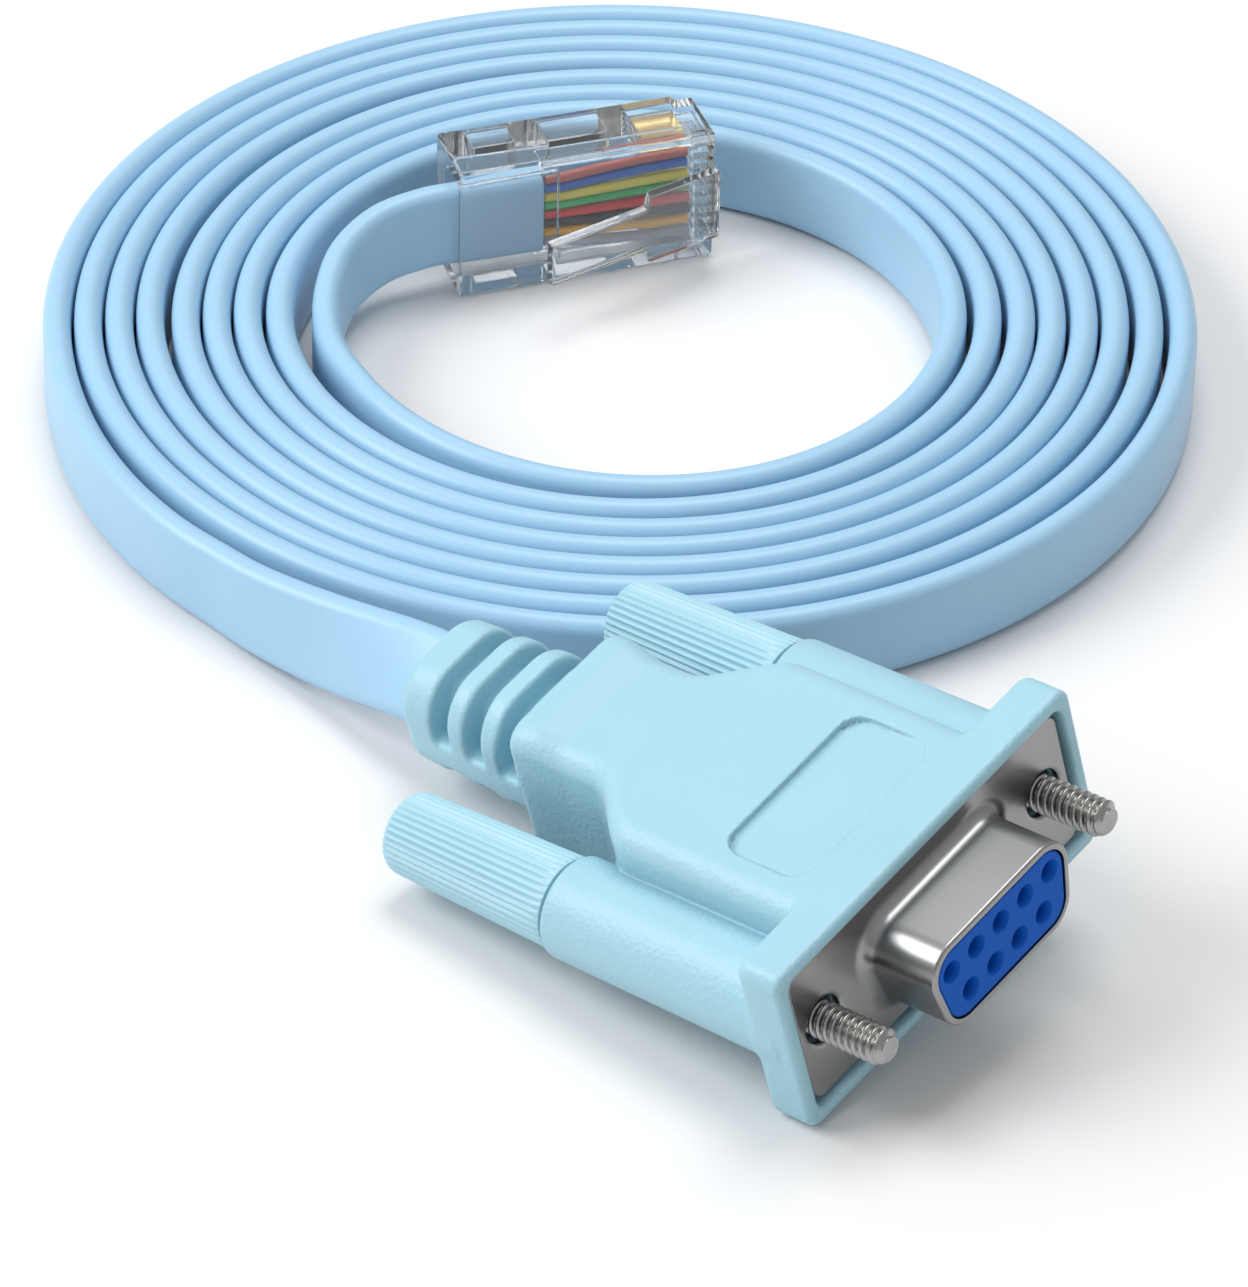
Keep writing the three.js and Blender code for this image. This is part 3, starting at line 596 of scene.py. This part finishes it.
def bulge(heading):
    """How far the turn stands out there, easing from one quarter's value to the next."""
    quarters = [value for turn in TURN_BULGES for value in turn]
    place = (SPIRAL_ZERO - heading) / 90.0
    quarter = min(int(place), len(quarters) - 2)
    way = ease(place, quarter, quarter + 1)
    return quarters[quarter] * (1 - way) + quarters[quarter + 1] * way


def spiral_route():
    rows = []
    for heading in np.arange(SPIRAL_FROM, SPIRAL_TO, -SPIRAL_STEP):
        wound = SPIRAL_ZERO - heading
        radius = SPIRAL_RADIUS - SPIRAL_PITCH * wound / 360.0
        radius += LEAD_SLACK * (1 - ease(wound, 0, LEAD_SLACK_SPAN))
        radius += TAIL_SLACK * (1 - ease(heading - SPIRAL_TO, 0, TAIL_SLACK_SPAN))
        radius += bulge(heading) * ease(wound, 0, LEAD_SLACK_SPAN)
        angle = math.radians(heading)
        rows.append((SPIRAL_CENTRE[0] + radius * math.cos(angle),
                     SPIRAL_CENTRE[1] + radius * math.sin(angle), CABLE_REST_HEIGHT, 0.0))
    return rows


def flat_cable():
    """The jacket as one swept band. Returns it with the points along its middle, in metres."""
    first, second = np.array(LEAD_ROUTE[0]), np.array(LEAD_ROUTE[1])
    way = (first - second)[:3]
    inside = (*(first[:3] + way / np.linalg.norm(way) * LEAD_INSIDE_RELIEF), first[3])
    path = smooth_route([inside, *LEAD_ROUTE, *spiral_route(), *TAIL_ROUTE], ROUTE_STEPS)
    centre, lean = path[:, :3], np.radians(path[:, 3])[:, None]
    tangent = np.gradient(centre, axis=0)
    tangent /= np.linalg.norm(tangent, axis=1)[:, None]
    side = np.cross((0.0, 0.0, 1.0), tangent)
    side /= np.linalg.norm(side, axis=1)[:, None]
    edge = np.cross(tangent, side)
    leaned_edge = edge * np.cos(lean) - side * np.sin(lean)
    leaned_side = side * np.cos(lean) + edge * np.sin(lean)
    radius = CABLE_THICKNESS / 2
    section = [(end * radius * math.cos(angle),
                end * (CABLE_WIDTH / 2 - radius + radius * math.sin(angle)))
               for end in (1, -1) for angle in np.linspace(0, math.pi, CABLE_EDGE_STEPS + 1)]
    shape = Shape()
    rings = np.stack([centre + leaned_side * a + leaned_edge * b for a, b in section], axis=1)
    for ring in shape.loft(rings):
        shape.cap(ring)
    piece = mesh_piece("flat_cable", shape.points, shape.faces, jacket, cable_frame)
    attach(piece, ROOT)
    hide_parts("cable_lead", "cable_coil", "cable_tail")
    return piece, (centre + ORIGIN) * MM


# D connector

def eased(y, change):
    """A change of a size by a span along y: by, from y and to y."""
    amount, start, end = change
    return amount * ease(y, start, end)


def flange_field(x, y, z):
    block = rounded_box(x, z, FLANGE_WIDTH / 2, FLANGE_HEIGHT / 2, FLANGE_CORNER_RADIUS)
    return meet(meet(block, FLANGE_FRONT_Y - y, FLANGE_FRONT_EDGE), y - FLANGE_REAR_Y, FLANGE_REAR_EDGE)


def body_field(x, y, z):
    neck = ease(y, SHOULDER_Y, NECK_Y)
    half_width = BODY_HALF_WIDTH + (NECK_HALF_WIDTH - BODY_HALF_WIDTH) * neck + eased(y, REAR_FLARE)
    walls = (np.abs(x) - half_width) * SLANT
    top = z - (BODY_HALF_HEIGHT - eased(y, TOP_DIP) + eased(y, TOP_LIFT))
    rise = BODY_REAR_RISE * (y - FLANGE_REAR_Y) / (BODY_REAR_Y - FLANGE_REAR_Y)
    bottom = -z - (BODY_HALF_HEIGHT - rise)
    block = meet(walls, np.maximum(top, bottom), BODY_EDGE_RADIUS)
    return meet(block, between(y, BODY_FRONT_Y, BODY_REAR_Y), BODY_END_RADIUS)


def sleeve_field(x, y, z):
    """Both screw sleeves, which narrow a little towards the rear."""
    radius = SLEEVE_RADIUS - SLEEVE_TAPER * (y - SLEEVE_TAPER_Y)
    return meet(np.hypot(np.abs(x) - SCREW_X, z) - radius, between(y, BODY_FRONT_Y, SLEEVE_REAR_Y),
                SLEEVE_END_RADIUS)


def label_field(x, y, z):
    panel = rounded_box(x, y - LABEL_FRONT_Y - LABEL_HALF_LENGTH, LABEL_HALF_WIDTH, LABEL_HALF_LENGTH,
                        LABEL_CORNER_RADIUS)
    floor = BODY_HALF_HEIGHT - LABEL_DEPTH - LABEL_TILT * (y - LABEL_FRONT_Y)
    return meet(panel, floor - z, LABEL_FOOT)


def pocket_field(x, y, z):
    """The flange's recess, in which the face plate sits."""
    outline = rounded_box(x, z, PLATE_WIDTH / 2 + GAP, PLATE_HEIGHT / 2 + GAP, PLATE_CORNER_RADIUS)
    return meet(outline, y - (SHELL_LENGTH + PLATE_THICKNESS + GAP), POCKET_FOOT)


def hood_field(x, y, z):
    solid = join(body_field(x, y, z), sleeve_field(x, y, z), SLEEVE_FILLET)
    solid = join(solid, flange_field(x, y, z), FLANGE_FILLET)
    solid = join(solid, relief_field(x, y, z - RELIEF_RISE), RELIEF_FILLET)
    solid = cut(solid, label_field(x, y, z), LABEL_RIM)
    solid = cut(solid, pocket_field(x, y, z), POCKET_RIM)
    bores = np.hypot(np.abs(x) - SCREW_X, z) - BORE_RADIUS
    cavity = rounded_box(x, z, CAVITY_HALF_WIDTH, CAVITY_HALF_HEIGHT, CAVITY_CORNER_RADIUS)
    cavity = np.maximum(cavity, y - INSULATOR_LENGTH - GAP)
    return cut(solid, np.minimum(bores, cavity), BORE_RIM)


def relief_field(x, y, z):
    """The strain relief: a block that narrows, slotted from above and below down to its core."""
    narrowed = 1 - RELIEF_NARROWING * (y - RELIEF_FRONT_Y) / (RELIEF_REAR_Y - RELIEF_FRONT_Y)
    u, v = x / narrowed, z / narrowed
    block = rounded_box(u, v, RELIEF_HALF_WIDTH, RELIEF_HALF_HEIGHT, RELIEF_CORNER_RADIUS)
    relief = meet(block, between(y, RELIEF_FRONT_Y, RELIEF_REAR_Y), RELIEF_END_RADIUS)
    core = rounded_box(u, v, CORE_HALF_WIDTH, CORE_HALF_HEIGHT, CORE_CORNER_RADIUS)
    slots = np.full(np.shape(relief), FAR)
    for index in range(SLOT_COUNT):
        width = np.abs(y - SLOT_Y - SLOT_PITCH * index) - SLOT_HALF_WIDTH
        upper = meet(width, UPPER_SLOT_Z - z, UPPER_SLOT_FOOT)
        lower = meet(width, z - LOWER_SLOT_Z, LOWER_SLOT_FOOT)
        slots = np.minimum(slots, np.minimum(upper, lower))
    return cut(relief, meet(slots, -core, LOWER_SLOT_FOOT), SLOT_RIM)


def hood():
    piece = moulded("hood_moulding", hood_field, HOOD_LOW, HOOD_HIGH, HOOD_STEP,
                    hood_plastic, connector_frame)
    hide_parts("hood")
    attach(piece, ROOT)


def d_ring(margin, y):
    """The D outline of the insulator, grown by a margin on every side."""
    half = INSULATOR_HEIGHT / 2 + margin
    slope = math.tan(D_SIDE_SLOPE)
    middle = INSULATOR_TOP_WIDTH / 2 - INSULATOR_HEIGHT / 2 * slope + margin / math.cos(D_SIDE_SLOPE)
    top, bottom = middle + half * slope, middle - half * slope
    corners = [(-bottom, -half), (bottom, -half), (top, half), (-top, half)]
    return outline_ring(corners, D_CORNER_RADIUS + margin, y)


def plate_ring(inset, y):
    u, v = PLATE_WIDTH / 2 - inset, PLATE_HEIGHT / 2 - inset
    return outline_ring([(-u, -v), (u, -v), (u, v), (-u, v)], PLATE_CORNER_RADIUS, y)


def face_plate():
    """The stamped plate, flared out of the foot of its D-shaped shell."""
    front, rear = SHELL_LENGTH, SHELL_LENGTH + PLATE_THICKNESS
    inside, outside = SHELL_CLEARANCE, SHELL_CLEARANCE + SHELL_WALL
    shape = Shape()
    foot = [d_ring(outside + SHELL_FOOT_RADIUS * (1 - math.sin(angle)),
                   front - SHELL_FOOT_RADIUS * (1 - math.cos(angle))) for angle in QUARTER_TURN]
    lip = [d_ring(outside - SHELL_LIP_RADIUS * (1 - math.cos(angle)),
                  SHELL_LIP_RADIUS * (1 - math.sin(angle))) for angle in QUARTER_TURN]
    shell = shape.loft([*foot, *lip, d_ring(inside, 0.0), d_ring(inside, rear)])
    rim = shape.loft([plate_ring(PLATE_EDGE, front), plate_ring(0.0, front + PLATE_EDGE),
                      plate_ring(0.0, rear)])
    holes = []
    for x in (-SCREW_X, SCREW_X):
        rings = [circle(BORE_RADIUS + HOLE_LIP_REACH * (1 - math.sin(angle)), x,
                        front + HOLE_LIP_DEPTH * (1 - math.cos(angle)), 0, HOLE_SIDES)
                 for angle in QUARTER_TURN]
        holes.append(shape.loft([*rings, circle(BORE_RADIUS, x, rear, 0, HOLE_SIDES)]))
    shape.fill([rim[0], shell[0], *[hole[0] for hole in holes]])
    shape.fill([rim[1], shell[1], *[hole[1] for hole in holes]])
    piece = mesh_piece("shell_and_plate", shape.points, shape.faces, nickelled_steel, connector_frame)
    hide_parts("face_plate")
    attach(piece, ROOT)


def insulator():
    """The blue block with its nine countersunk holes."""
    shape = Shape()
    wall = shape.loft([d_ring(-INSULATOR_EDGE, INSULATOR_FACE_Y),
                       d_ring(0.0, INSULATOR_FACE_Y + INSULATOR_EDGE), d_ring(0.0, INSULATOR_LENGTH)])
    holes = []
    for row in range(2):
        count = TOP_ROW_HOLES - row
        for index in range(count):
            x, z = (index - (count - 1) / 2) * HOLE_PITCH, ROW_SPACING * (0.5 - row)
            holes.append(shape.loft([circle(radius, x, y, z) for radius, y in HOLE_PROFILE]))
    shape.fill([wall[0], *[hole[0] for hole in holes]])
    shape.fill([wall[1], *[hole[1] for hole in holes]])
    piece = mesh_piece("insulator_block", shape.points, shape.faces, blue_plastic, connector_frame)
    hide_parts("insulator")
    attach(piece, ROOT)


def jackscrew(side, x):
    """A 4-40 screw: its thread is one helical ridge, and ends at the plain rod inside the sleeve."""
    shape = Shape()
    rings = []
    for y in np.arange(SCREW_TIP_Y, THREAD_END_Y, THREAD_PITCH / THREAD_RINGS):
        tip = min(1.0, SCREW_TIP_SHARE + (1 - SCREW_TIP_SHARE) * (y - SCREW_TIP_Y) / SCREW_TIP_LENGTH)
        ring = []
        for step in range(SCREW_SIDES):
            angle = 2 * math.pi * step / SCREW_SIDES
            phase = (y / THREAD_PITCH + step / SCREW_SIDES) % 1
            depth = THREAD_DEPTH * (0.5 + 0.5 * math.cos(2 * math.pi * phase)) ** THREAD_SHARPNESS
            radius = (SCREW_RADIUS - depth) * tip
            ring.append((x + radius * math.cos(angle), y, radius * math.sin(angle)))
        rings.append(ring)
    rod = SCREW_RADIUS - THREAD_DEPTH / 2
    rings += [circle(rod, x, y, 0, SCREW_SIDES) for y in (THREAD_END_Y, SCREW_REAR_Y)]
    for ring in shape.loft(rings):
        shape.cap(ring)
    piece = mesh_piece(f"threaded_screw_{side}", shape.points, shape.faces, bright_steel, connector_frame)
    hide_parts(f"jackscrew_{side}")
    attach(piece, f"thumbscrew_{side}")


def knob_profile():
    """Radius, place and share of the flutes' depth, from the bore's mouth round to the rear end."""
    rear = KNOB_FRONT_Y + KNOB_LENGTH
    profile = [(SCREW_RADIUS + GAP, KNOB_FRONT_Y, 0)]
    profile += [(KNOB_RADIUS - inset, KNOB_FRONT_Y + back, depth) for inset, back, depth in KNOB_FRONT_EDGE]
    for way in KNOB_SIDE_SHARES:
        radius = KNOB_RADIUS + (KNOB_REAR_RADIUS - KNOB_RADIUS) * way
        profile.append((radius, KNOB_FRONT_Y + KNOB_LENGTH * way, 1))
    for angle in KNOB_REAR_ANGLES:
        radius = KNOB_REAR_RADIUS - KNOB_REAR_EDGE * (1 - math.cos(angle))
        profile.append((radius, rear - KNOB_REAR_EDGE * (1 - math.sin(angle)), math.cos(angle)))
    return profile


def knob(side, x):
    """A fluted grip that narrows towards its rounded rear end."""
    count = KNOB_FLUTES * FLUTE_STEPS
    shape = Shape()
    rings = []
    for radius, y, depth in knob_profile():
        ring = []
        for step in range(count):
            angle = 2 * math.pi * step / count
            wave = (0.5 - 0.5 * math.cos(KNOB_FLUTES * angle)) ** FLUTE_SHARPNESS
            out = radius - FLUTE_DEPTH * depth * wave
            ring.append((x + out * math.cos(angle), y, out * math.sin(angle)))
        rings.append(ring)
    front, back = shape.loft(rings)
    shape.cap(back)
    bore = shape.loft([circle(SCREW_RADIUS + GAP, x, y, 0, count)
                       for y in (KNOB_FRONT_Y, SCREW_REAR_Y + GAP)])
    shape.cap(bore[1])
    for index in range(count):
        after = (index + 1) % count
        shape.faces.append((front[index], front[after], bore[0][after], bore[0][index]))
    piece = mesh_piece(f"fluted_knob_{side}", shape.points, shape.faces, knob_plastic, connector_frame)
    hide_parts(f"knob_{side}")
    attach(piece, f"thumbscrew_{side}")


# Modular plug

def tunnel(x, y, across, room, narrowing=0.0):
    """A room along the plug: from x, to x, middle y, half height, half width and corner radius."""
    start, end, middle, half_height, half_width, corner = room
    section = rounded_box(y - middle, across, half_height - narrowing * x, half_width, corner)
    return meet(between(x, start, end), section, PLUG_ROUNDING)


def plug_field(x, y, z):
    across = z - PLUG_WIDTH / 2
    section = rounded_box(y - PLUG_THICKNESS / 2, across, PLUG_THICKNESS / 2, PLUG_WIDTH / 2,
                          PLUG_SIDE_EDGE)
    block = meet(section, between(x, 0, PLUG_LENGTH), PLUG_END_EDGE)
    rooms = np.minimum(tunnel(x, y, across, MOUTH, MOUTH_NARROWING), tunnel(x, y, across, CHANNEL))
    rooms = np.minimum(rooms, np.maximum(NOSE_STEP_X - x, NOSE_STEP_Y - y))
    for start, end, floor in WINDOWS:
        window = (start, end, WINDOW_TOP_Y, WINDOW_TOP_Y - floor, WINDOW_HALF_WIDTH, WINDOW_CORNER_RADIUS)
        rooms = np.minimum(rooms, tunnel(x, y, across, window))
    slots = np.abs((across / BLADE_PITCH + 0.5) % 1 - 0.5) * BLADE_PITCH - BLADE_SLOT_HALF_WIDTH
    slots = np.maximum(slots, np.abs(across) - BLADE_SLOTS_HALF_WIDTH)
    slots = np.maximum(slots, np.maximum(BLADE_SLOT_X - x, BLADE_SLOT_Y - y))
    return cut(block, np.minimum(rooms, slots), PLUG_RIM)


def plug():
    piece = moulded("plug_moulding", plug_field, PLUG_LOW, PLUG_HIGH, PLUG_STEP,
                    clear_plastic, plug_frame)
    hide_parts("plug_body")
    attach(piece, ROOT)


def latch_field(x, y, z):
    """A strip that slants from its root at the nose to shoulders and a narrow free end."""
    along = math.atan2(LATCH_DROP, LATCH_RUN)
    back, below = PLUG_LENGTH - x, y - LATCH_ROOT_Y
    u = back * math.cos(along) - below * math.sin(along)
    v = back * math.sin(along) + below * math.cos(along)
    across = z - PLUG_WIDTH / 2
    narrowing = ease(-x, -LATCH_SHOULDER_X - LATCH_SHOULDER_SPAN, -LATCH_SHOULDER_X + LATCH_SHOULDER_SPAN)
    half_width = LATCH_HALF_WIDTH - (LATCH_HALF_WIDTH - LATCH_END_HALF_WIDTH) * narrowing
    section = rounded_box(v, across, LATCH_HALF_THICKNESS, LATCH_HALF_WIDTH, LATCH_CORNER_RADIUS)
    strip = meet(section, between(u, LATCH_START, LATCH_LENGTH), LATCH_END_RADIUS)
    return meet(strip, (np.abs(across) - half_width) * SLANT, LATCH_CORNER_RADIUS)


def latch():
    piece = moulded("plug_latch_spring", latch_field, LATCH_LOW, LATCH_HIGH, LATCH_STEP,
                    clear_plastic, plug_frame)
    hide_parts("plug_latch")
    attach(piece, "latch")


def wire_path(index):
    """The wire's middle, fanned out from the jacket's end and waved a little out of the row."""
    row = (len(WIRE_COLOURS) - 1) / 2 - index
    wave = WIRE_WAVE * math.sin(index * WIRE_WAVE_TURN)
    return smooth_route([(x, WIRE_Y + wave * ease(x, *WIRE_WAVE_X), PLUG_WIDTH / 2 + row * pitch)
                         for x, pitch in WIRE_FAN], ROUTE_STEPS)


def plug_wires():
    """Eight wires that fan out from the jacket's end to the nose, brown on top."""
    angles = 2 * math.pi * np.arange(WIRE_SIDES) / WIRE_SIDES
    for index, (colour, value) in enumerate(WIRE_COLOURS.items()):
        shape = Shape()
        rings = [[(x, y + WIRE_RADIUS * math.cos(angle), z + WIRE_RADIUS * math.sin(angle))
                  for angle in angles] for x, y, z in wire_path(index)]
        for ring in shape.loft(rings):
            shape.cap(ring)
        material = surface(f"wire_{colour}", value, 0.3, drift=0.08, drift_size=2)
        piece = mesh_piece(f"insulated_wire_{colour}", shape.points, shape.faces, material, plug_frame)
        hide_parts(f"wire_{colour}")
        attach(piece, ROOT)


def gild_contacts():
    for name, node in frame["nodes"].items():
        if name.startswith(("contact_blade", "socket_contact")):
            for slot in node.material_slots:
                slot.material = gold


camera()
cable, centres = flat_cable()
studio()
hood()
face_plate()
insulator()
for side, x in (("near", -SCREW_X), ("far", SCREW_X)):
    jackscrew(side, x)
    knob(side, x)
plug()
latch()
plug_wires()
gild_contacts()
